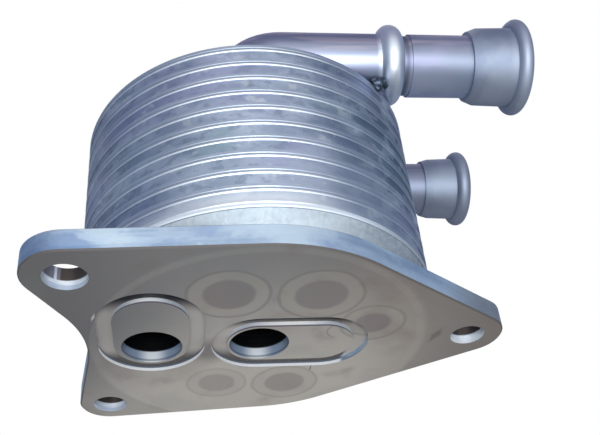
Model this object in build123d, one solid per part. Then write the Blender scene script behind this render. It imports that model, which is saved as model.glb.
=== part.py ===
from build123d import *
from math import ceil, hypot, sqrt
import os

# Transmission oil cooler with a stack of round plates, in millimetres.
# A drilled and grooved flange bolts to the gearbox, with its sealing face at z = 0.
# Dished plates and flat plates stand on it in turn, brazed at their lips, and close off
# eleven cells. Coolant and oil fill the cells in turn, from four rows of port holes.
# Two coolant pipes stand on the top cover, bend to +X and end in hose connectors.
# The origin is the centre of the middle oil port, on the stack's own axis.

# Mounting flange
flange_thickness = 6.0
front_arc_radius = 43.8
rear_arc_radius = 36.8
near_lug_centre = (-45.8, -32.0)
near_lug_radius = 10.4
near_hole_diameter = 10.5
right_lug_centre = (55.0, -2.0)
right_lug_radius = 9.4
rear_lug_centre = (-39.8, 31.9)
rear_lug_radius = 8.2
bolt_hole_diameter = 9.0
waist_radius = 34.0
waist_x = -43.6
waist_y = 2.0
edge_chamfer = 0.4

# Oil ports in the flange and the seal grooves around them
oil_port_diameter = 15.5
second_port_centre = (-27.4, 0.6)
seal_groove_width = 4.0
seal_groove_depth = 1.4
middle_land_margin = 0.65
middle_land_length = 16.2
second_land_margin = 1.7
second_land_length = 10.95
second_land_offset = 1.0

# Plate stack
cup_count = 10
stack_radius = 46.0
lip_overhang = 0.3
lip_thickness = 1.0
lip_bevel_reach = 0.15
lip_bevel_height = 0.35
cup_height = 4.01
first_cup_height = 3.39
cup_wall_taper = 0.25
flat_plate_thickness = 1.15
cover_thickness = 1.2
sheet_thickness = 0.8
pan_height = 4.2
pan_lip_thickness = 1.1
pan_lip_overhang = 0.5
pan_wall_taper = 2.2

# Port holes through the plates
oil_hole_diameter = 12.0
coolant_hole_diameter = 14.0
collar_wall = 0.8

# Folded turbulator sheets in the oil cells
fin_pitch = 8.0
fin_flat = 3.0
fin_thickness = 0.35
fin_edge_gap = 0.65

# Coolant pipes
riser_x = -2.5
pipe_edge_distance = 17.6
bend_radius = 11.0
foot_radius = 12.0
foot_height = 1.0

outlet_diameter = 18.0
outlet_wall = 1.5
outlet_collar_radius = 11.6
outlet_collar_start = 36.0
outlet_collar_width = 6.5
outlet_neck_width = 2.4
outlet_neck_depth = 0.5
outlet_sleeve_start = 62.3
outlet_sleeve_taper = 2.6
outlet_sleeve_radius = 11.1
outlet_bead_start = 74.7
outlet_bead_width = 4.0
outlet_bead_radius = 13.9

inlet_diameter = 17.0
inlet_wall = 1.5
inlet_axis_rise = 0.6
inlet_sleeve_start = 60.5
inlet_sleeve_taper = 2.4
inlet_sleeve_radius = 9.95
inlet_bead_start = 70.8
inlet_bead_width = 4.4
inlet_bead_radius = 12.5

sleeve_flare = 0.3
bead_end_step = 1.8
connector_bore_step = 1.0
braze_gap = 0.03
socket_share = 0.55

# Heights and places that follow from the sizes above
pan_top = flange_thickness + pan_height
cup_pitch = cup_height + flat_plate_thickness
cup_top_radius = stack_radius - lip_overhang
cup_bottom_radius = cup_top_radius - cup_wall_taper
pan_top_radius = stack_radius - pan_lip_overhang
pan_bottom_radius = pan_top_radius - pan_wall_taper
first_cup_top = pan_top + flat_plate_thickness + first_cup_height
cover_bottom = first_cup_top + (cup_count - 1) * cup_pitch
cover_top = cover_bottom + cover_thickness

oil_ports = [(0.0, 0.0), second_port_centre]
pipe_offset_y = stack_radius - pipe_edge_distance
outlet_port = (riser_x, -pipe_offset_y)
inlet_port = (riser_x, pipe_offset_y)
coolant_ports = [outlet_port, inlet_port]
outlet_axis_z = cover_top + outlet_collar_radius
inlet_axis_z = outlet_axis_z + inlet_axis_rise


def save(solid, name):
    """Write one piece of the cooler to its own file."""
    export_step(solid, f"parts/{name}.step")


def round_hole(centre, diameter, bottom, top):
    """A cylinder that stands at a port or bolt centre, between two heights."""
    column = Cylinder(diameter / 2, top - bottom, align=(Align.CENTER, Align.CENTER, Align.MIN))
    return Pos(centre[0], centre[1], bottom) * column


def tangent_outline(circles):
    """The closed outline round a ring of circles, with a straight tangent from each to the next.

    Each circle is (x, y, radius), in anticlockwise order. A negative radius is a hollow.
    """
    count = len(circles)
    leaving, arriving = [None] * count, [None] * count
    for i, (x1, y1, r1) in enumerate(circles):
        j = (i + 1) % count
        x2, y2, r2 = circles[j]
        distance = hypot(x2 - x1, y2 - y1)
        ux, uy = (x2 - x1) / distance, (y2 - y1) / distance
        along = (r1 - r2) / distance
        across = sqrt(1 - along * along)
        nx, ny = ux * along + uy * across, uy * along - ux * across
        leaving[i] = (x1 + r1 * nx, y1 + r1 * ny)
        arriving[j] = (x2 + r2 * nx, y2 + r2 * ny)
    edges = []
    for i, (x, y, radius) in enumerate(circles):
        start, end = arriving[i], leaving[i]
        mx, my = (start[0] + end[0]) / 2 - x, (start[1] + end[1]) / 2 - y
        reach = abs(radius) / hypot(mx, my)
        edges.append(ThreePointArc(start, (x + mx * reach, y + my * reach), end))
        edges.append(Line(leaving[i], arriving[(i + 1) % count]))
    return make_face(edges)


def seal_groove(centre, land_width, land_length, angle):
    """A ring groove that leaves a long round land standing in its middle."""
    outer = SlotCenterToCenter(land_length, land_width + 2 * seal_groove_width)
    land = SlotCenterToCenter(land_length, land_width)
    return Pos(centre[0], centre[1], 0) * extrude(Rot(0, 0, angle) * (outer - land), seal_groove_depth)


def base_flange():
    """The cast mounting plate: three lugs, a waist, two oil ports and two seal grooves."""
    outline = tangent_outline([
        (*near_lug_centre, near_lug_radius),
        (0, 0, front_arc_radius),
        (*right_lug_centre, right_lug_radius),
        (0, 0, rear_arc_radius),
        (*rear_lug_centre, rear_lug_radius),
        (waist_x - waist_radius, waist_y, -waist_radius),
    ])
    plate = extrude(outline, flange_thickness)
    rims = plate.edges().group_by(Axis.Z)
    plate = chamfer(rims[0] + rims[-1], edge_chamfer)
    for centre in oil_ports:
        plate -= round_hole(centre, oil_port_diameter, 0, flange_thickness)
    plate -= round_hole(near_lug_centre, near_hole_diameter, 0, flange_thickness)
    for centre in (right_lug_centre, rear_lug_centre):
        plate -= round_hole(centre, bolt_hole_diameter, 0, flange_thickness)
    middle_land = oil_port_diameter + 2 * middle_land_margin
    second_land = oil_port_diameter + 2 * second_land_margin
    second_centre = (second_port_centre[0], second_port_centre[1] - second_land_offset - second_land_length / 2)
    plate -= seal_groove((middle_land_length / 2, 0), middle_land, middle_land_length, 0)
    plate -= seal_groove(second_centre, second_land, second_land_length, 90)
    return plate


def dished_plate(height, bottom_radius, top_radius, lip, open_ports, sealed_ports):
    """A pressed dish that opens upward, with a bevelled lip on its rim and a collar round each
    port that only passes through its cell. Ports are (centre, hole diameter)."""
    wall = sheet_thickness
    profile = make_face(Polyline(
        (0, 0),
        (bottom_radius, 0),
        (top_radius, height - lip),
        (stack_radius - lip_bevel_reach, height - lip),
        (stack_radius, height - lip + lip_bevel_height),
        (stack_radius, height),
        (top_radius - wall, height),
        (bottom_radius - wall, wall),
        (0, wall),
        close=True,
    ))
    dish = revolve(Plane.XZ * profile, Axis.Z)
    for centre, diameter in sealed_ports:
        dish += round_hole(centre, diameter + 2 * collar_wall, 0, height)
    for centre, diameter in open_ports + sealed_ports:
        dish -= round_hole(centre, diameter, 0, height)
    return dish


def flat_plate(thickness, ports):
    """A flat plate that closes the cell below it, bevelled where its lip meets the lip below."""
    profile = make_face(Polyline(
        (0, 0),
        (stack_radius - lip_bevel_reach, 0),
        (stack_radius, lip_bevel_height),
        (stack_radius, thickness),
        (0, thickness),
        close=True,
    ))
    disc = revolve(Plane.XZ * profile, Axis.Z)
    for centre, diameter in ports:
        disc -= round_hole(centre, diameter, 0, thickness)
    return disc


def turbulator(height, radius, ports):
    """A folded sheet that fills an oil cell from plate to plate, cut out round the ports."""
    rise = height - fin_thickness
    slope = fin_pitch / 2 - fin_flat
    waves = ceil(radius / fin_pitch)
    lower = []
    for wave in range(-waves, waves):
        x = wave * fin_pitch
        lower.append((x, 0))
        lower.append((x + fin_flat, 0))
        lower.append((x + fin_flat + slope, rise))
        lower.append((x + 2 * fin_flat + slope, rise))
    upper = [(x, z + fin_thickness) for x, z in reversed(lower)]
    band = extrude(Plane.XZ * make_face(Polyline(*lower, *upper, close=True)), radius, both=True)
    sheet = band & round_hole((0, 0), 2 * radius, 0, height)
    for centre, diameter in ports:
        sheet -= round_hole(centre, diameter + 2 * collar_wall + 2 * fin_edge_gap, 0, height)
    return sheet


def about_pipe(profile, axis_y, axis_z):
    """Turn a profile of (x, radius) points about a pipe's axis."""
    axis = Axis((0, axis_y, axis_z), (1, 0, 0))
    plane = Plane((0, axis_y, axis_z), x_dir=(1, 0, 0), z_dir=(0, -1, 0))
    return revolve(plane * profile, axis)


def bent_pipe(port, axis_z, radius, bore, end_x):
    """A pipe that stands on the cover with a round foot and bends to run along +X."""
    x, y = port
    bend_start = axis_z - bend_radius
    corner = ((bend_radius / sqrt(2)), (1 - 1 / sqrt(2)) * bend_radius)
    path = Wire([
        Line((x, y, cover_top), (x, y, bend_start)).edge(),
        ThreePointArc(
            (x, y, bend_start),
            (x + corner[1], y, bend_start + corner[0]),
            (x + bend_radius, y, axis_z),
        ).edge(),
        Line((x + bend_radius, y, axis_z), (end_x, y, axis_z)).edge(),
    ])
    foot = round_hole(port, 2 * foot_radius, cover_top, cover_top + foot_height)
    start = Plane((x, y, cover_top))
    outside = sweep(start * Circle(radius), path)
    inside = sweep(start * Circle(bore), path)
    return foot + outside, inside


def bead(start, width, peak_radius, root_radius, bore):
    """The half section of a pipe's wall with a rounded bead that stands up from it."""
    crest = ThreePointArc((start, root_radius), (start + width / 2, peak_radius), (start + width, root_radius))
    wall = Polyline(crest @ 1, (start + width, bore), (start, bore), crest @ 0)
    return make_face([crest, wall])


def outlet_elbow():
    """The front pipe's elbow, up to the collar where the straight tube begins."""
    radius = outlet_diameter / 2
    bore = radius - outlet_wall
    collar_end = outlet_collar_start + outlet_collar_width
    outside, inside = bent_pipe(outlet_port, outlet_axis_z, radius, bore, collar_end)
    section = bead(outlet_collar_start, outlet_collar_width, outlet_collar_radius, radius, bore)
    return outside + about_pipe(section, -pipe_offset_y, outlet_axis_z) - inside


def outlet_tube():
    """The straight tube of the front pipe, necked beside the collar."""
    radius = outlet_diameter / 2
    bore = radius - outlet_wall
    start = outlet_collar_start + outlet_collar_width
    neck_end = start + outlet_neck_width
    end = socket_end(outlet_sleeve_start, outlet_bead_start)
    profile = make_face(Polyline(
        (start, bore),
        (start, radius - outlet_neck_depth),
        (neck_end, radius - outlet_neck_depth),
        (neck_end, radius),
        (end, radius),
        (end, bore),
        close=True,
    ))
    return about_pipe(profile, -pipe_offset_y, outlet_axis_z)


def inlet_pipe():
    """The rear pipe, bent from one tube."""
    radius = inlet_diameter / 2
    end = socket_end(inlet_sleeve_start, inlet_bead_start)
    outside, inside = bent_pipe(inlet_port, inlet_axis_z, radius, radius - inlet_wall, end)
    return outside - inside


def socket_end(start, bead_start):
    """How far a tube reaches into its hose connector."""
    return start + (bead_start - start) * socket_share


def hose_connector(axis_y, axis_z, tube, start, taper, radius, bead_start, bead_width, bead_radius):
    """A turned sleeve on a tube's end. It widens a little towards the rounded bead at its mouth."""
    socket = tube / 2 + braze_gap
    shoulder = socket_end(start, bead_start)
    bore = tube / 2 - connector_bore_step
    mouth = bead_start + bead_width
    crest = ThreePointArc(
        (bead_start, radius + sleeve_flare),
        (bead_start + bead_width / 2, bead_radius),
        (mouth, bead_radius - bead_end_step),
    )
    outline = Polyline(
        crest @ 1,
        (mouth, bore),
        (shoulder, bore),
        (shoulder, socket),
        (start, socket),
        (start, (socket + radius) / 2),
        (start + taper, radius),
        crest @ 0,
    )
    return about_pipe(make_face([crest, outline]), axis_y, axis_z)


os.makedirs("parts", exist_ok=True)

save(base_flange(), "base_flange")

oil_holes = [(centre, oil_hole_diameter) for centre in oil_ports]
coolant_holes = [(centre, coolant_hole_diameter) for centre in coolant_ports]
all_holes = oil_holes + coolant_holes

pan = dished_plate(pan_height, pan_bottom_radius, pan_top_radius, pan_lip_thickness, [], oil_holes)
save(Pos(0, 0, flange_thickness) * pan, "base_pan")

# Odd cells hold oil, with a folded sheet, and even cells and the pan hold coolant.
# Each cell seals off the other pair of ports.
fin_radius = cup_bottom_radius - sheet_thickness - fin_edge_gap
divider = flat_plate(flat_plate_thickness, all_holes)
floor = pan_top
for number in range(1, cup_count + 1):
    height = first_cup_height if number == 1 else cup_height
    holds_oil = number % 2 == 1
    open_ports = oil_holes if holds_oil else coolant_holes
    sealed_ports = coolant_holes if holds_oil else oil_holes
    save(Pos(0, 0, floor) * divider, f"divider_plate_{number:02d}")
    floor += flat_plate_thickness
    cup = dished_plate(height, cup_bottom_radius, cup_top_radius, lip_thickness, open_ports, sealed_ports)
    save(Pos(0, 0, floor) * cup, f"dished_plate_{number:02d}")
    if holds_oil:
        folds = turbulator(height - sheet_thickness, fin_radius, all_holes)
        save(Pos(0, 0, floor + sheet_thickness) * folds, f"turbulator_{number:02d}")
    floor += height

save(Pos(0, 0, cover_bottom) * flat_plate(cover_thickness, coolant_holes), "top_cover")

save(outlet_elbow(), "outlet_elbow")
save(outlet_tube(), "outlet_tube")
save(
    hose_connector(
        -pipe_offset_y, outlet_axis_z, outlet_diameter, outlet_sleeve_start, outlet_sleeve_taper,
        outlet_sleeve_radius, outlet_bead_start, outlet_bead_width, outlet_bead_radius,
    ),
    "outlet_connector",
)
save(inlet_pipe(), "inlet_pipe")
save(
    hose_connector(
        pipe_offset_y, inlet_axis_z, inlet_diameter, inlet_sleeve_start, inlet_sleeve_taper,
        inlet_sleeve_radius, inlet_bead_start, inlet_bead_width, inlet_bead_radius,
    ),
    "inlet_connector",
)
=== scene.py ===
from math import radians

import bpy
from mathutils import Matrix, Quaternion, Vector


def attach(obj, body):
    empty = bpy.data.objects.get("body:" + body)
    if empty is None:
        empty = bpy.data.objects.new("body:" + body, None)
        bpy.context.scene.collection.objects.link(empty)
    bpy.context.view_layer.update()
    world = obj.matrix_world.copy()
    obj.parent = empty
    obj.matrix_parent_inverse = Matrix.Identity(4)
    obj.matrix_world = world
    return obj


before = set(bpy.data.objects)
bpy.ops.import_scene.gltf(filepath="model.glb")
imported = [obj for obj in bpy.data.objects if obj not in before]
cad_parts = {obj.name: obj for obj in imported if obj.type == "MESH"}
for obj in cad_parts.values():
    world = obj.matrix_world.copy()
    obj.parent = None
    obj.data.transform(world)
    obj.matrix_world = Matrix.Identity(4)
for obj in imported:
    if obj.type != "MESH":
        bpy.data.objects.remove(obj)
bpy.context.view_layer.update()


# Mounting flange
# An aluminium plate, 6 mm thick, with three lugs that bolt to the gearbox. Its underside is
# milled flat and stained by the brazing furnace, and its holes and seal grooves are cut bright.
# Light and shade are painted onto the underside, the side and the walls of the holes and grooves.

class Shade:
    """A value or colour in a material. Arithmetic on it adds Math nodes."""

    def __init__(self, tree, socket=None):
        self.tree = tree
        self.socket = socket

    def node(self, kind, settings=None, values=None, output=0):
        """Add any node: its settings are made first, then its sockets are linked or set."""
        node = self.tree.nodes.new(kind)
        for name, value in (settings or {}).items():
            setattr(node, name, value)
        for name, value in (values or {}).items():
            if isinstance(value, Shade):
                self.tree.links.new(value.socket, node.inputs[name])
            else:
                node.inputs[name].default_value = value
        return Shade(self.tree, node.outputs[output])

    def maths(self, operation, *values):
        return self.node("ShaderNodeMath", {"operation": operation}, dict(enumerate(values)))

    def __add__(self, other):
        return self.maths("ADD", self, other)

    def __radd__(self, other):
        return self.maths("ADD", other, self)

    def __sub__(self, other):
        return self.maths("SUBTRACT", self, other)

    def __rsub__(self, other):
        return self.maths("SUBTRACT", other, self)

    def __mul__(self, other):
        return self.maths("MULTIPLY", self, other)

    def __rmul__(self, other):
        return self.maths("MULTIPLY", other, self)

    def __truediv__(self, other):
        return self.maths("DIVIDE", self, other)

    def __pow__(self, other):
        return self.maths("POWER", self, other)

    def nearest_whole(self):
        return self.maths("ROUND", self)

    def larger(self, other):
        return self.maths("MAXIMUM", self, other)

    def smaller(self, other):
        return self.maths("MINIMUM", self, other)

    def size(self):
        return self.maths("ABSOLUTE", self)

    def rise(self, start, end):
        """0 below start and 1 above end, with a smooth step between."""
        values = {"Value": self, "From Min": start, "From Max": end}
        return self.node("ShaderNodeMapRange", {"interpolation_type": "SMOOTHSTEP"}, values)

    def mix(self, base, top, mask):
        """The base colour, with the top colour over it where the mask is 1."""
        values = {0: mask, 6: base, 7: top}
        return self.node("ShaderNodeMix", {"data_type": "RGBA"}, values, 2)


def on_screen(red, green, blue):
    """A colour written as it looks on screen, 0 to 255, in the shader's own values."""
    values = []
    for level in (red, green, blue):
        share = level / 255
        values.append(share / 12.92 if share <= 0.04045 else ((share + 0.055) / 1.055) ** 2.4)
    return (*values, 1.0)


class Finish:
    """A new metal finish. Places in it are in millimetres."""

    def __init__(self, name):
        self.material = bpy.data.materials.new(name)
        self.material.use_nodes = True
        self.tree = self.material.node_tree
        self.shader = self.tree.nodes["Principled BSDF"]
        self.shade = Shade(self.tree)
        self.place = self.shade.node("ShaderNodeTexCoord", output="Object")
        normal = self.shade.node("ShaderNodeTexCoord", output="Normal")
        self.x, self.y, self.z = (self.axis(self.place, number) * 1000 for number in range(3))
        self.up = self.axis(normal, 2)

    def axis(self, vector, number):
        return self.shade.node("ShaderNodeSeparateXYZ", None, {0: vector}, number)

    def distance(self, x, y):
        """How far a point is, seen from above, from an upright line."""
        return ((self.x - x) ** 2 + (self.y - y) ** 2) ** 0.5

    def noise(self, scale, detail=3.0, stretch=(1.0, 1.0, 1.0)):
        """Noise from 0 to 1, with scale in blotches per metre along each axis."""
        place = self.shade.node("ShaderNodeMapping", None, {"Vector": self.place, "Scale": stretch})
        values = {"Vector": place, "Scale": scale, "Detail": detail}
        return self.shade.node("ShaderNodeTexNoise", None, values)

    def apply(self, colour, roughness, metallic, height, depth):
        """Fill the shader's sockets. Depth is in metres, for a height from 0 to 1."""
        self.tree.links.new(colour.socket, self.shader.inputs["Base Color"])
        self.tree.links.new(roughness.socket, self.shader.inputs["Roughness"])
        if isinstance(metallic, Shade):
            self.tree.links.new(metallic.socket, self.shader.inputs["Metallic"])
        else:
            self.shader.inputs["Metallic"].default_value = metallic
        bump = self.shade.node("ShaderNodeBump", None, {"Height": height, "Distance": depth})
        self.tree.links.new(bump.socket, self.shader.inputs["Normal"])
        return self.material


def dress(material, *nodes):
    """Give CAD nodes a finish."""
    for name in nodes:
        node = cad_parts[name]
        node.data.materials.clear()
        node.data.materials.append(material)


MIDDLE_PORT = (0.0, 0.0)
SECOND_PORT = (-27.4, 0.6)
PORT_RADIUS = 7.75
BOLT_HOLES = [(-45.8, -32.0, 5.25), (55.0, -2.0, 4.5), (-39.8, 31.9, 4.5)]
GROOVE_DEPTH = 1.4
GROOVES_MIDDLE = (-10.0, 0.0)
GROOVES_REACH = 34.0
FIRST_GLEAM = (8.0, -10.0)
SECOND_GLEAM = (-28.0, -24.0)
STACK_CENTRE = (0.0, 0.0)
FOOTPRINT_RING = (40.6, 43.2)
LAND_GAP = (-13.0, 3.0)

# Stains over the dimples of the first plate: place, disc and ring radius, strength
BRAZE_STAINS = [
    (-8.7, -23.5, 6.4, 10.0, 1.0),
    (13.7, -22.8, 6.6, 10.5, 0.9),
    (28.4, -9.2, 4.8, 8.2, 0.8),
    (-10.5, 21.0, 5.0, 8.0, 0.5),
    (8.3, 21.7, 5.5, 9.0, 0.6),
]

# Handling marks: a smudge by the right hole, a nick at the waist, a scratch and part of a ring
SMUDGE = (45.6, -2.6)
NICK = (-41.0, -14.5)
SCRATCH = (14.8, 13.9)
RING_MARK = (20.4, -5.6)
RING_MARK_RADIUS = 3.3

flange = Finish("flange_metal")
shade = flange.shade
cloud = flange.noise(28, 3)
mottle = flange.noise(90, 4)
grain = flange.noise(900, 2)
hue_drift = flange.noise(45, 4)

# The underside is darker to the front left and paler to the rear: partly furnace stain, partly painted
# shade at the front left and painted light at the rear.
left_reach = (flange.x + 10).smaller(0)
towards_rear = (flange.y + left_reach * 1.1 + (cloud - 0.5) * 12).rise(-46, 18)
right_reach = flange.x.rise(20, 62)
bleach_and_painted_light = towards_rear * (1 - right_reach * 0.9)
dull_grey = shade.mix(on_screen(114, 112, 112), on_screen(142, 139, 136), flange.x.rise(-52, -18))
dull_grey = shade.mix(dull_grey, on_screen(140, 128, 119), flange.x.rise(0, 40))
warm_grey = shade.mix(dull_grey, on_screen(202, 194, 182), bleach_and_painted_light)
between_grooves = 1 - (flange.distance(*LAND_GAP) + (mottle - 0.5) * 3).rise(2.0, 8.0)
warm_grey = shade.mix(warm_grey, on_screen(122, 116, 112), between_grooves * 0.75)
from_centre = flange.distance(*STACK_CENTRE)
warm_grey = shade.mix(warm_grey, on_screen(130, 126, 122), from_centre.rise(43.0, 44.5) * 0.3)
ring_start, ring_end = FOOTPRINT_RING
footprint_ring = from_centre.rise(ring_start, ring_start + 0.6)
footprint_ring = footprint_ring * (1 - from_centre.rise(ring_end - 0.6, ring_end))
warm_grey = shade.mix(warm_grey, on_screen(190, 184, 172), footprint_ring * 0.16)
for x, y, disc, ring, strength in BRAZE_STAINS:
    distance = flange.distance(x, y) + (mottle - 0.5) * 1.2
    halo = 1 - distance.rise(ring - 0.5, ring + 0.3)
    halo_edge = distance.rise(ring - 0.7, ring - 0.2) * (1 - distance.rise(ring + 0.1, ring + 0.7))
    middle = 1 - distance.rise(disc - 0.7, disc + 0.5)
    warm_grey = shade.mix(warm_grey, on_screen(172, 165, 152), halo * (0.45 * strength))
    warm_grey = shade.mix(warm_grey, on_screen(118, 112, 106), halo_edge * (0.4 * strength))
    warm_grey = shade.mix(warm_grey, on_screen(134, 126, 124), middle * (0.75 * strength))
warm_grey = shade.mix(warm_grey, on_screen(134, 128, 122), mottle.rise(0.56, 0.75) * 0.25)
warm_grey = shade.mix(warm_grey, on_screen(124, 102, 96), hue_drift.rise(0.52, 0.66) * 0.2)
warm_grey = shade.mix(warm_grey, on_screen(128, 136, 130), (1 - hue_drift.rise(0.36, 0.46)) * 0.16)

smudge_aside = flange.x + flange.y * 0.3 - SMUDGE[0]
smudge_reach = (smudge_aside * 1.5).size() + ((flange.y - SMUDGE[1]) * 0.5).size()
smudge = 1 - (smudge_reach + (mottle - 0.5) * 3).rise(1.0, 2.8)
warm_grey = shade.mix(warm_grey, on_screen(98, 90, 84), smudge * 0.5)
nick_along = flange.y - NICK[1]
nick_aside = flange.x - NICK[0] + nick_along * 0.3
nick = 1 - (nick_aside.size() * 5 + nick_along.size()).rise(1.2, 2.4)
warm_grey = shade.mix(warm_grey, on_screen(214, 208, 200), nick * 0.8)
scratch = 1 - ((flange.x - SCRATCH[0]).size() * 8 + (flange.y - SCRATCH[1]).size()).rise(1.4, 2.2)
warm_grey = shade.mix(warm_grey, on_screen(84, 78, 74), scratch * 0.7)
ring_mark = 1 - (flange.distance(*RING_MARK) - RING_MARK_RADIUS).size().rise(0.12, 0.35)
ring_mark = ring_mark * (1 - flange.x.rise(RING_MARK[0] - 1.8, RING_MARK[0]))
warm_grey = shade.mix(warm_grey, on_screen(104, 98, 92), ring_mark * 0.35)

brush_marks = flange.noise(34, 4, (1.0, 1.0, 12.0))
smears = flange.noise(85, 4, (1.0, 1.0, 1.6))
# The side has brush marks and smears under a pale blue, a painted reflection of the light in front, with
# painted shade towards the left end and greyer on the right lug.
side_painted_reflection = shade.mix(on_screen(154, 180, 208), on_screen(206, 226, 244), brush_marks.rise(0.35, 0.65))
side_painted_reflection = shade.mix(side_painted_reflection, on_screen(218, 236, 246), smears.rise(0.5, 0.6) * 0.7)
side_painted_reflection = shade.mix(side_painted_reflection, on_screen(132, 162, 206), (1 - smears.rise(0.36, 0.46)) * 0.6)
side_painted_reflection = shade.mix(side_painted_reflection, on_screen(186, 204, 222), flange.x.rise(-36, -24) * 0.35)
side_painted_reflection = shade.mix(side_painted_reflection, on_screen(116, 142, 176), (1 - flange.x.rise(-50, -36)) * 0.4)
side_painted_reflection = shade.mix(side_painted_reflection, on_screen(154, 158, 160), flange.x.rise(42, 58) * 0.8)


def inside(finish, x, y, radius):
    """1 inside an upright round hole, its wall included."""
    return 1 - finish.distance(x, y).rise(radius + 0.1, radius + 0.2)


def inside_port(finish, radius):
    """1 in the upright column above either oil port."""
    return inside(finish, *MIDDLE_PORT, radius).larger(inside(finish, *SECOND_PORT, radius))


upright = 1 - flange.up.size().rise(0.3, 0.6)
left_hole, right_hole, rear_hole = [inside(flange, *hole) for hole in BOLT_HOLES]
near_bolt = left_hole.larger(right_hole).larger(rear_hole)
near_port = inside_port(flange, PORT_RADIUS)
at_second_groove = 1 - flange.x.rise(-13.3, -13.1)
in_groove = 1 - flange.z.rise(GROOVE_DEPTH + 0.02, GROOVE_DEPTH + 0.06)
in_groove = in_groove * (1 - flange.distance(*GROOVES_MIDDLE).rise(GROOVES_REACH, GROOVES_REACH + 1))

# A port's wall has a painted gleam opposite the open side, and painted shade just past its edge
# and deep inside
from_port = flange.x.size().smaller((flange.x - SECOND_PORT[0]).size())
port_wall = shade.mix(on_screen(150, 166, 190), on_screen(244, 250, 254), 1 - from_port.rise(0.5, 4.5))
port_edge_shade = flange.z.rise(0.25, 0.4) * (1 - flange.z.rise(0.8, 1.0))
port_wall = shade.mix(port_wall, on_screen(84, 92, 104), port_edge_shade * 0.6)
port_wall = shade.mix(port_wall, on_screen(14, 16, 18), flange.z.rise(2.8, 3.3))

# A bolt hole's wall is painted lit up to the middle and in brown painted shade above. The left
# hole's outer side is painted grey above, with a painted upright glint.
left_x = BOLT_HOLES[0][0]
outer_side = left_hole * (1 - flange.x.rise(left_x - 2.1, left_x - 1.5))
bolt_wall = shade.mix(on_screen(190, 202, 218), on_screen(232, 238, 244), brush_marks.rise(0.45, 0.55))
glint = flange.x.rise(left_x - 3.2, left_x - 3.0) * (1 - flange.x.rise(left_x - 2.6, left_x - 2.4))
shaded_upper_wall = shade.mix(on_screen(70, 62, 58), on_screen(128, 126, 134), outer_side)
shaded_upper_wall = shade.mix(shaded_upper_wall, on_screen(226, 230, 238), glint * outer_side)
bolt_wall = shade.mix(bolt_wall, shaded_upper_wall, flange.z.rise(2.3, 2.7))

# A groove's floor is painted pale at its left end, a painted light against the shade there, and
# painted in shade in front of the land and behind it. Its walls are painted bright with dark
# bands, painted light and shade, and carry a painted gleam at two places.
front_shade = (1 - flange.y.rise(-10.5, -5.0)) * (1 - at_second_groove)
front_shade = front_shade.larger((1 - flange.y.rise(-21, -13)) * at_second_groove)
rear_shade = flange.y.rise(3.0, 9.0)
floor_shade = front_shade.larger(rear_shade * 0.8)
painted_light_end = 1 - flange.x.rise(4, 14)
groove_floor = in_groove * flange.z.rise(GROOVE_DEPTH - 0.1, GROOVE_DEPTH - 0.05) * (1 - upright)
gleam = 1 - flange.distance(*FIRST_GLEAM).rise(2, 13)
gleam = gleam.larger(1 - flange.distance(*SECOND_GLEAM).rise(1, 9))
groove_wall = shade.mix(on_screen(190, 196, 206), on_screen(255, 255, 255), gleam)
groove_wall = shade.mix(groove_wall, on_screen(112, 108, 120), 1 - flange.z.rise(0.3, 0.5))
rear_wall_light_and_shade = shade.mix(on_screen(250, 252, 255), on_screen(110, 118, 132), flange.z.rise(0.7, 0.95))
groove_wall = shade.mix(groove_wall, rear_wall_light_and_shade, flange.y.rise(0, 2))

# Faces that slope down at about 45 degrees, the lower chamfers, are painted dark: painted shade.
lower_edge_shade = flange.up.rise(-0.85, -0.78) * (1 - flange.up.rise(-0.65, -0.58))
upper_face = shade.mix(on_screen(150, 152, 156), on_screen(184, 186, 190), mottle.rise(0.35, 0.65))
flange_colour = shade.mix(warm_grey, upper_face, flange.up.rise(0.5, 0.6))
flange_colour = shade.mix(flange_colour, side_painted_reflection, upright)
flange_colour = shade.mix(flange_colour, on_screen(88, 84, 82), lower_edge_shade * 0.8)
flange_colour = shade.mix(flange_colour, on_screen(214, 206, 196), groove_floor * painted_light_end * 0.5)
flange_colour = shade.mix(flange_colour, on_screen(30, 30, 36), groove_floor * floor_shade)
flange_colour = shade.mix(flange_colour, groove_wall, in_groove * upright)
flange_colour = shade.mix(flange_colour, port_wall, near_port * upright)
flange_colour = shade.mix(flange_colour, bolt_wall, near_bolt * upright)
machined = upright * near_port.larger(near_bolt).larger(in_groove)
flange_roughness = 0.6 - upright * 0.12 - machined * 0.16 + (grain - 0.5) * 0.1
flange_metal = 0.45 + upright * 0.45 - machined * 0.5
flange_grain = (grain + mottle) * (1 - machined)
dress(flange.apply(flange_colour, flange_roughness, flange_metal, flange_grain, 0.00003), "base_flange")


# Base pan
# A dish pressed from aluminium sheet, brazed to the flange. Its satin wall is paler and smoother
# than the stack above it. Inside the oil ports it is painted near black, a painted shade.

PAN_RIM = 45.6

pan = Finish("pan_metal")
shade = pan.shade
clouds = pan.noise(40, 3, (1.0, 1.0, 2.5))
streaks = pan.noise(260, 3, (1.0, 1.0, 0.2))
speckle = pan.noise(850, 3)
pan_colour = shade.mix(on_screen(168, 178, 186), on_screen(188, 198, 206), clouds.rise(0.35, 0.65))
# The right side is painted darker, a painted shade.
pan_colour = shade.mix(pan_colour, on_screen(120, 132, 146), pan.x.rise(12, 30) * 0.45)
pan_colour = shade.mix(pan_colour, on_screen(182, 190, 196), streaks.rise(0.5, 0.66) * 0.3)
pan_colour = shade.mix(pan_colour, on_screen(208, 216, 222), speckle.rise(0.52, 0.62) * 0.2)
pan_colour = shade.mix(pan_colour, on_screen(122, 130, 142), (1 - speckle.rise(0.34, 0.44)) * 0.2)
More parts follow.
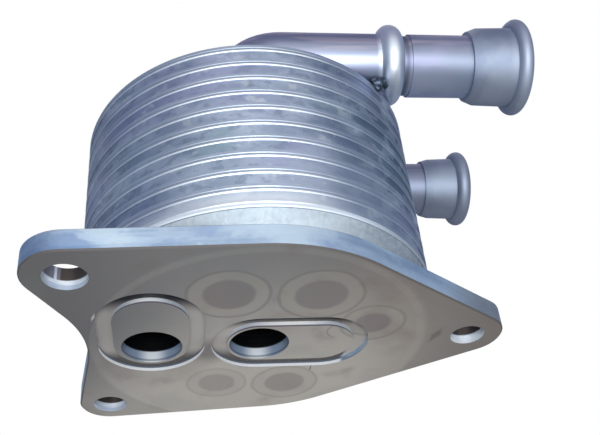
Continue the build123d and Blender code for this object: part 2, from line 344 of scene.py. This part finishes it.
# The rim carries a painted highlight that fades out towards the right.
pan_rim_highlight = pan.distance(*STACK_CENTRE).rise(PAN_RIM, PAN_RIM + 0.2)
pan_colour = shade.mix(pan_colour, on_screen(222, 230, 238), pan_rim_highlight * (1 - pan.x.rise(18, 38) * 0.8))
pan_port_shade = inside_port(pan, PORT_RADIUS + 1) * (1 - pan.up.rise(0.3, 0.6))
pan_colour = shade.mix(pan_colour, on_screen(16, 18, 20), pan_port_shade)
dress(pan.apply(pan_colour, 0.68 + (clouds - 0.5) * 0.2, 0.9, clouds + streaks, 0.00003), "base_pan")


# Plate stack
# Ten pressed dishes and ten flat plates in turn, with folded sheets between, brazed in a furnace.
# The walls have gone a blotchy blue grey. A painted pool of light lies left of the middle and
# painted shade on the right, and the lips' bevels carry a painted highlight.

LIP_START = 45.74
FIRST_SEAM = 14.74
PLATE_PITCH = 5.16
FIRST_RIM_TOP = 11.35

plates = Finish("plate_metal")
shade = plates.shade
blotches = plates.noise(70, 6, (1.0, 1.0, 1.8))
patches = plates.noise(120, 3, (1.0, 1.0, 1.4))
tint = plates.noise(24, 3, (1.0, 1.0, 1.6))
wide_haze = plates.noise(14, 2, (1.0, 1.0, 1.2))
specks = plates.noise(700, 2)
frost = plates.noise(320, 5, (1.0, 1.0, 1.5))
# Where a painted pool of light lies, left of the middle.
painted_light_arc = plates.x.rise(-44, -20) * (1 - plates.x.rise(0, 28))
shaded_right_flank = plates.x.rise(6, 34)
wall = shade.mix(on_screen(122, 140, 166), on_screen(178, 190, 208), blotches.rise(0.36, 0.64))
wall = shade.mix(wall, on_screen(192, 204, 220), painted_light_arc * 0.4)
# Painted shade on the right flank, darker still at the right edge.
wall = shade.mix(wall, on_screen(86, 100, 122), shaded_right_flank * 0.68)
wall = shade.mix(wall, on_screen(156, 158, 162), (1 - plates.x.rise(-44, -30)) * 0.4)
wall = shade.mix(wall, on_screen(84, 86, 92), plates.x.rise(37, 46) * 0.5)
wall = shade.mix(wall, on_screen(104, 118, 146), frost.rise(0.5, 0.64) * 0.4)
wall = shade.mix(wall, on_screen(150, 154, 190), tint.rise(0.48, 0.64) * 0.6)
wall = shade.mix(wall, on_screen(126, 156, 168), (1 - tint.rise(0.34, 0.46)) * 0.6)
wall = shade.mix(wall, on_screen(186, 200, 212), wide_haze.rise(0.56, 0.72) * 0.6)
pale_patches = patches.rise(0.64, 0.7) * wide_haze.rise(0.4, 0.6)
wall = shade.mix(wall, on_screen(202, 214, 220), pale_patches * 0.7)
wall = shade.mix(wall, on_screen(176, 190, 202), patches.rise(0.5, 0.56) * shaded_right_flank * 0.6)
frosted_patches = patches.rise(0.58, 0.66) * frost.rise(0.4, 0.55)
wall = shade.mix(wall, on_screen(214, 222, 228), frosted_patches * 0.45)
wall = shade.mix(wall, on_screen(206, 214, 222), specks.rise(0.68, 0.76) * 0.5)
# The lowest walls in the pool carry a painted highlight.
wall = shade.mix(wall, on_screen(222, 230, 238), (1 - plates.z.rise(12.0, 15.5)) * painted_light_arc * 0.7)
at_lip = plates.distance(*STACK_CENTRE).rise(LIP_START, LIP_START + 0.06)
bevel = at_lip * (1 - plates.up.rise(-0.3, -0.15)) * plates.up.rise(-0.8, -0.6)
plate_count = (plates.z - FIRST_SEAM) / PLATE_PITCH
above_seam = (plate_count - plate_count.nearest_whole()) * PLATE_PITCH
from_seam = above_seam.size()
upper_lip = above_seam.rise(0.0, 0.1)
seam = at_lip * (1 - from_seam.rise(0.06, 0.22))
first_rim = at_lip * (1 - plates.z.rise(FIRST_RIM_TOP, FIRST_RIM_TOP + 0.1))
# The lips are painted lighter and their seams darker, more so in the painted pool of light. The bevels
# and the first rim carry a painted highlight, fainter on the upper lips.
plate_colour = shade.mix(wall, on_screen(190, 204, 218), at_lip * (0.3 + painted_light_arc * 0.45))
plate_colour = shade.mix(plate_colour, on_screen(88, 96, 114), seam * (0.3 + painted_light_arc * 0.5))
plate_colour = shade.mix(plate_colour, on_screen(236, 242, 248), bevel * (0.2 + painted_light_arc * 0.8))
plate_colour = shade.mix(plate_colour, on_screen(150, 162, 184), bevel * upper_lip * 0.75)
plate_colour = shade.mix(plate_colour, on_screen(230, 236, 242), first_rim * painted_light_arc * 0.8)
plate_colour = shade.mix(plate_colour, on_screen(152, 164, 188), plates.up.rise(0.5, 0.8) * 0.55)
# Inside the oil port columns the plates are painted nearly black, a painted shade.
column_shade = inside_port(plates, PORT_RADIUS) * (1 - plates.up.rise(0.5, 0.8))
plate_colour = shade.mix(plate_colour, on_screen(40, 44, 50), column_shade * 0.85)
plate_roughness = 0.46 - bevel * 0.04 + (blotches - 0.5) * 0.3
plate_metal = plates.apply(plate_colour, plate_roughness, 0.9, blotches + specks, 0.00004)
stack_names = ("divider_plate", "dished_plate", "turbulator", "top_cover")
dress(plate_metal, *[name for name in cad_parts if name.startswith(stack_names)])


# Coolant pipes
# Drawn aluminium tube, bent and brazed into the cover, with a rolled collar on the front pipe.
# The surface is satin, with faint draw marks along the tube.

AXIS_HEIGHT = 73.98
PIPE_OFFSET = 28.4
COLLAR_START = 35.4
COLLAR_END = 43.2


def beside_axis(finish):
    """How far a point of either pipe lies behind its axis."""
    return finish.y + PIPE_OFFSET - finish.y.rise(-1, 1) * (2 * PIPE_OFFSET)


pipes = Finish("pipe_metal")
shade = pipes.shade
draw_marks = pipes.noise(60, 4, (0.25, 3.0, 3.0))
haze = pipes.noise(40, 3)
front_pipe = 1 - pipes.y.rise(0, 1)
rear_pipe = pipes.y.rise(10, 12)
before_collar = (1 - pipes.x.rise(COLLAR_START - 0.8, COLLAR_START)) * front_pipe
at_collar = pipes.x.rise(COLLAR_START, COLLAR_START + 1)
at_collar = at_collar * (1 - pipes.x.rise(COLLAR_END - 1, COLLAR_END)) * front_pipe
neck_shade = pipes.x.rise(COLLAR_END - 1.2, COLLAR_END - 0.4)
neck_shade = neck_shade * (1 - pipes.x.rise(COLLAR_END + 0.2, COLLAR_END + 1.6)) * front_pipe
past_collar = pipes.x.rise(COLLAR_END - 1.2, COLLAR_END + 0.8)
above_axis = pipes.z - AXIS_HEIGHT
across = beside_axis(pipes)
rub_lines = pipes.noise(420, 3, (0.08, 1.0, 1.0))
pipe_colour = shade.mix(on_screen(162, 172, 194), on_screen(206, 216, 230), draw_marks.rise(0.35, 0.65))
elbow_shade = before_collar * (0.75 - across.rise(0, 5) * 0.5)
pipe_colour = shade.mix(pipe_colour, on_screen(132, 138, 166), elbow_shade)
pipe_colour = shade.mix(pipe_colour, on_screen(120, 128, 150), past_collar * 0.8)
# The top is painted darker, a painted shade, and past the collar the lower, rear half is painted
# lighter, a painted light.
pipe_colour = shade.mix(pipe_colour, on_screen(128, 134, 158), above_axis.rise(4, 8) * 0.4)
pipe_colour = shade.mix(pipe_colour, on_screen(200, 210, 232), across.rise(-6, -1) * past_collar * 0.7)
# Pale streaks along the upper side: rub marks, and a painted highlight.
rub_marks_and_highlight = rub_lines.rise(0.5, 0.6) * above_axis.rise(-4, -1)
pipe_colour = shade.mix(pipe_colour, on_screen(206, 196, 208), rub_marks_and_highlight * 0.5)
pipe_colour = shade.mix(pipe_colour, on_screen(172, 168, 198), haze.rise(0.48, 0.66) * 0.45)
pipe_colour = shade.mix(pipe_colour, on_screen(140, 164, 186), (1 - haze.rise(0.34, 0.44)) * 0.4)
pipe_colour = shade.mix(pipe_colour, on_screen(232, 240, 248), at_collar * 0.6)
# The neck just past the collar is painted dark, a painted shadow.
pipe_colour = shade.mix(pipe_colour, on_screen(74, 80, 104), neck_shade * 0.7)
rear_pipe_shade = rear_pipe * (0.6 - across.rise(3, 7) * 0.4)
pipe_colour = shade.mix(pipe_colour, on_screen(128, 136, 156), rear_pipe_shade)
pipe_roughness = 0.42 + past_collar * 0.1 + (haze - 0.5) * 0.25
pipe_metal = pipes.apply(pipe_colour, pipe_roughness, 0.95, draw_marks, 0.00006)
dress(pipe_metal, "outlet_elbow", "outlet_tube", "inlet_pipe")


# Hose connectors
# Turned aluminium sleeves with a rounded bead that holds the hose. Their satin is a little duller
# than the tube's, with fine rings from the tool.

connectors = Finish("connector_metal")
shade = connectors.shade
rings = connectors.noise(500, 2, (4.0, 0.4, 0.4))
dullness = connectors.noise(70, 4)
lit_lower_side = beside_axis(connectors).rise(-4, 3)
at_bead = connectors.x.rise(72, 75)
rear_sleeve_shade = connectors.y.rise(10, 12)
sleeve_colour = shade.mix(on_screen(132, 142, 164), on_screen(158, 168, 184), dullness.rise(0.35, 0.65))
# The lower side is painted lighter, a painted light.
sleeve_colour = shade.mix(sleeve_colour, on_screen(178, 186, 198), lit_lower_side * 0.45)
sleeve_colour = shade.mix(sleeve_colour, on_screen(176, 184, 200), at_bead * 0.4)
# The rear connector is painted darker, a painted shade.
sleeve_colour = shade.mix(sleeve_colour, on_screen(134, 144, 160), rear_sleeve_shade * 0.35)
connector_metal = connectors.apply(sleeve_colour, 0.6 + (dullness - 0.5) * 0.2, 0.9, rings, 0.00002)
dress(connector_metal, "outlet_connector", "inlet_connector")


# Braze
# Filler metal that ran out round the pipes' feet in the furnace, and a rough dark lump of it that
# fills the gap between the front pipe's collar and the edge of the cover.

MM = 0.001
COVER_TOP = 62.38
FOOT_X = -2.5
PIPE_FEET = {"outlet_braze_ring": (FOOT_X, -PIPE_OFFSET), "inlet_braze_ring": (FOOT_X, PIPE_OFFSET)}
FILLET_REACH = 13.1

# The fillet's section from its outer edge round to it again: radius and height
FILLET_RINGS = [(12.6, 0.18), (12.2, 0.55), (12.0, 0.95), (11.9, 0.95), (11.9, 0.0), (FILLET_REACH, 0.0)]
LUMP_CENTRE = (34.9, -31.1, 63.7)
LUMP_REACH = (2.4, 1.8, 2.2)

braze = Finish("braze_metal")
shade = braze.shade
crust = braze.noise(900, 5)
fillet_colour = shade.mix(on_screen(140, 148, 162), on_screen(206, 212, 218), crust.rise(0.4, 0.6))
lump_colour = shade.mix(on_screen(46, 54, 68), on_screen(112, 126, 150), crust.rise(0.46, 0.7))
braze_colour = shade.mix(fillet_colour, lump_colour, braze.x.rise(20, 22))
braze_metal = braze.apply(braze_colour, 0.5 + (crust - 0.5) * 0.4, 0.8, crust, 0.0002)


def roughen(piece, grain_size, depth):
    """Push the skin in and out in soft lumps."""
    lumps = bpy.data.textures.new(piece.name, "CLOUDS")
    lumps.noise_scale = grain_size
    bpy.ops.object.modifier_add(type="DISPLACE")
    piece.modifiers[0].texture = lumps
    piece.modifiers[0].strength = depth
    bpy.ops.object.modifier_apply(modifier=piece.modifiers[0].name)


def finish_piece(piece, name, material):
    """Smooth a new piece, put its place in its mesh, and fix it to the object."""
    bpy.ops.object.shade_smooth()
    bpy.ops.object.transform_apply(location=True, rotation=True, scale=True)
    piece.name = name
    piece.data.materials.append(material)
    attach(piece, "root")


for name, (x, y) in PIPE_FEET.items():
    centre = (x * MM, y * MM, COVER_TOP * MM)
    bpy.ops.object.select_all(action="DESELECT")
    bpy.ops.mesh.primitive_circle_add(vertices=96, radius=FILLET_REACH * MM, location=centre)
    ring = bpy.context.object
    bpy.ops.object.mode_set(mode="EDIT")
    bpy.ops.mesh.select_all(action="SELECT")
    radius, height = FILLET_REACH, 0.0
    for next_radius, next_height in FILLET_RINGS:
        lift = (0, 0, (next_height - height) * MM)
        bpy.ops.mesh.extrude_edges_move(TRANSFORM_OT_translate={"value": lift})
        share = next_radius / radius
        bpy.ops.transform.resize(value=(share, share, 1.0), center_override=centre)
        radius, height = next_radius, next_height
    bpy.ops.mesh.select_all(action="SELECT")
    bpy.ops.mesh.remove_doubles(threshold=0.01 * MM)
    bpy.ops.mesh.normals_make_consistent(inside=False)
    bpy.ops.object.mode_set(mode="OBJECT")
    roughen(ring, 2.5 * MM, 0.25 * MM)
    finish_piece(ring, name, braze_metal)

bpy.ops.object.select_all(action="DESELECT")
lump_place = [value * MM for value in LUMP_CENTRE]
bpy.ops.mesh.primitive_ico_sphere_add(subdivisions=5, radius=MM, location=lump_place)
lump = bpy.context.object
bpy.ops.object.mode_set(mode="EDIT")
bpy.ops.mesh.select_all(action="SELECT")
bpy.ops.transform.resize(value=LUMP_REACH, center_override=lump_place)
bpy.ops.object.mode_set(mode="OBJECT")
roughen(lump, 1.3 * MM, 1.0 * MM)
finish_piece(lump, "collar_braze_lump", braze_metal)


# Floor
# A plain pale floor just under the sealing face. The photograph looks up from below it, so only a
# view from above sees it, and it neither blocks the light from below nor shows in the metal.

FLOOR_GAP = 0.0002
FLOOR_SIZE = 6.0

bpy.ops.object.select_all(action="DESELECT")
bpy.ops.mesh.primitive_plane_add(size=FLOOR_SIZE, location=(0, 0, -FLOOR_GAP))
floor = bpy.context.object
floor.name = "floor"
bpy.ops.object.transform_apply(location=True)
floor_material = bpy.data.materials.new("floor_pale")
floor_material.use_nodes = True
shade = Shade(floor_material.node_tree)
paint = shade.tree.nodes["Principled BSDF"]
paint.inputs["Base Color"].default_value = on_screen(236, 236, 236)
paint.inputs["Roughness"].default_value = 0.9
painted = Shade(shade.tree, paint.outputs[0])
from_camera = shade.node("ShaderNodeLightPath", output="Is Camera Ray")
from_behind = shade.node("ShaderNodeNewGeometry", output="Backfacing")
clear = shade.node("ShaderNodeBsdfTransparent")
values = {0: from_camera * (1 - from_behind), 1: clear, 2: painted}
seen = shade.node("ShaderNodeMixShader", None, values)
shade.tree.links.new(seen.socket, shade.tree.nodes["Material Output"].inputs["Surface"])
floor.data.materials.append(floor_material)


# Light
# White surroundings, a soft lamp low in front and one above, and dim cards at both sides, above,
# behind and below. Only the metal sees the cards, and mirrors them as its darker flanks.

ROOM_COLOUR = (0.86, 0.92, 1.0, 1.0)
ROOM_STRENGTH = 0.6
CARD_SIZE = 2.4
AIM = Vector((0.0, 0.0, 0.03))

world = bpy.data.worlds.new("white_room")
world.use_nodes = True
bpy.context.scene.world = world
shade = Shade(world.node_tree)
camera_ray = shade.node("ShaderNodeLightPath", output="Is Camera Ray")
mirror_ray = shade.node("ShaderNodeLightPath", output="Is Glossy Ray")
through_ray = shade.node("ShaderNodeLightPath", output="Is Transmission Ray")
white = world.node_tree.nodes["Background"]
white.inputs["Color"].default_value = (1.0, 1.0, 1.0, 1.0)
white.inputs["Strength"].default_value = 1.0
room = shade.node("ShaderNodeBackground", None, {"Color": ROOM_COLOUR, "Strength": ROOM_STRENGTH})
as_seen = camera_ray.larger(mirror_ray).larger(through_ray)
values = {0: as_seen, 1: room, 2: Shade(shade.tree, white.outputs[0])}
sky = shade.node("ShaderNodeMixShader", None, values)
shade.tree.links.new(sky.socket, world.node_tree.nodes["World Output"].inputs["Surface"])


def card(name, place, colour):
    """A coloured card that only the metal sees, turned to face the part."""
    bpy.ops.object.select_all(action="DESELECT")
    bpy.ops.mesh.primitive_plane_add(size=CARD_SIZE, location=place)
    board = bpy.context.object
    board.name = name
    board.rotation_euler = (-Vector(place)).to_track_quat("Z", "Y").to_euler()
    material = bpy.data.materials.new(name)
    material.use_nodes = True
    board_shade = Shade(material.node_tree)
    glow = board_shade.node("ShaderNodeEmission", None, {"Color": colour, "Strength": 1.0})
    surface_socket = material.node_tree.nodes["Material Output"].inputs["Surface"]
    material.node_tree.links.new(glow.socket, surface_socket)
    board.data.materials.append(material)
    board.visible_camera = False
    board.visible_shadow = False
    board.visible_diffuse = False


card("left_card", (-1.0, 0.0, 0.3), on_screen(130, 142, 164))
card("right_card", (1.0, 0.1, 0.3), on_screen(128, 142, 166))
card("top_card", (0.0, 0.05, 0.95), on_screen(132, 130, 160))
card("back_card", (0.0, 1.4, 0.2), on_screen(124, 132, 152))
card("ground_card", (0.1, 0.35, -1.0), on_screen(146, 148, 156))


def lamp(name, place, size, power, colour):
    """A soft square lamp that points at the part's middle."""
    light = bpy.data.lights.new(name, "AREA")
    light.size = size
    light.energy = power
    light.color = colour
    holder = bpy.data.objects.new(name, light)
    bpy.context.scene.collection.objects.link(holder)
    holder.location = place
    holder.rotation_euler = (AIM - Vector(place)).to_track_quat("-Z", "Y").to_euler()


lamp("front_lamp", (-0.02, -0.85, -0.36), 0.35, 7.0, (0.95, 0.98, 1.0))
lamp("top_lamp", (0.2, 0.3, 1.2), 0.8, 6.0, (1.0, 1.0, 1.0))


# Camera
# Its place and lens were worked out from the round rims, the flange's outline and its holes. It
# stands low in front, a little under the flange, and looks up along the stack.

PHOTO_WIDTH = 600
FOCAL_PIXELS = 921.3
SENSOR_WIDTH = 36.0
CAMERA_PLACE = (-0.01988, -0.20834, -0.11844)
LINE_OF_SIGHT = (0.1283, 0.7876, 0.6026)
CAMERA_LEAN = -5.98

camera = bpy.data.objects.new("camera", bpy.data.cameras.new("camera"))
bpy.context.scene.collection.objects.link(camera)
camera.data.sensor_width = SENSOR_WIDTH
camera.data.lens = SENSOR_WIDTH * FOCAL_PIXELS / PHOTO_WIDTH
camera.location = CAMERA_PLACE
camera.rotation_mode = "QUATERNION"
lean = Quaternion((0, 0, 1), radians(CAMERA_LEAN))
camera.rotation_quaternion = Vector(LINE_OF_SIGHT).to_track_quat("-Z", "Y") @ lean
bpy.context.scene.camera = camera
bpy.context.scene.view_settings.view_transform = "Standard"
